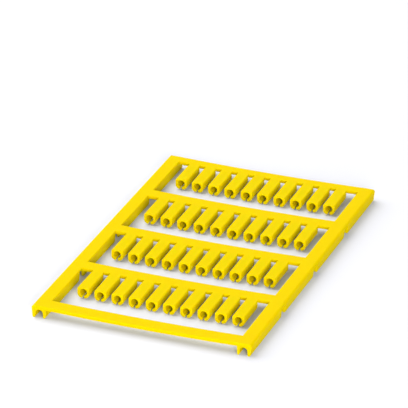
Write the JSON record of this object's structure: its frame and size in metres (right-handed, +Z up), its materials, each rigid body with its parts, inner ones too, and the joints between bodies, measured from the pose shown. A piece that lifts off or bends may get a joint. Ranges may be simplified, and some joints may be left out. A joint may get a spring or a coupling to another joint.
{
  "type": "cable marker sheet",
  "caption": "Flat moulded sheet of slip-on cable markers: two channel side rails, thin crossbars and rows of short flat-topped split sleeves with a bore for a conductor.",
  "frame": {"origin": "midway between the rails and midway along them, at the level of the surface that the rails stand on", "axes": "+Z up, +Y along the rails towards the rear bar, away from the sleeves' free ends, and +X across the sheet to the right"},
  "size_m": [0.072, 0.12, 0.004],
  "materials": {
    "yellow_plastic": "smooth moulded yellow plastic with a soft gloss"
  },
  "bodies": {
    "root": {"marker_sheet": "yellow_plastic"}
  },
  "joints": []
}
